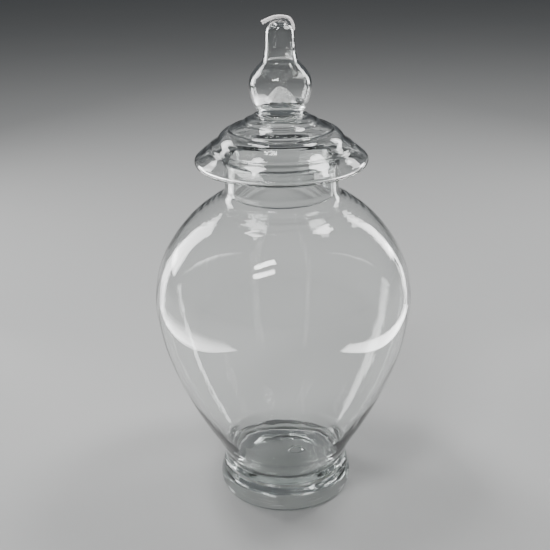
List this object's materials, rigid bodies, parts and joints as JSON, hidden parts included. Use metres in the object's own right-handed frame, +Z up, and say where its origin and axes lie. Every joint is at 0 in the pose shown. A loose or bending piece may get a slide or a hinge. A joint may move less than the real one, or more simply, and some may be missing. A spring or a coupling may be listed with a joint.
{
  "type": "specimen jar",
  "caption": "Footed clear-glass display jar with a broad shoulder, short neck and a lift-off domed glass lid with a hollow plug and a ball-and-nipple finial.",
  "frame": {"origin": "centre of the foot's resting face", "axes": "+Z up along the jar's axis, X and Y across it, with the cut end of the tie on the finial towards -X"},
  "size_m": [0.2608, 0.2608, 0.5021],
  "materials": {
    "body_glass": "clear blown glass, polished by the flame, faintly grey-green where thick",
    "foot_glass": "thick clear glass with a ground resting ring",
    "lid_glass": "clear blown glass with soft ring marks",
    "finial_glass": "clear thin blown glass",
    "joint_glass": "solid glass with a frosty white, bubbly top",
    "tie_white": "matte off-white woven tie"
  },
  "bodies": {
    "jar": {"jar_body": "body_glass", "foot": "foot_glass"},
    "lid": {"lid": "lid_glass", "finial_joint": "joint_glass", "finial": "finial_glass", "tie_strip": "tie_white"}
  },
  "joints": [
    {"name": "lid_lift", "type": "slide", "parent": "jar", "child": "lid", "axis": [0, 0, 1], "range_m": [0, 0.2]}
  ]
}
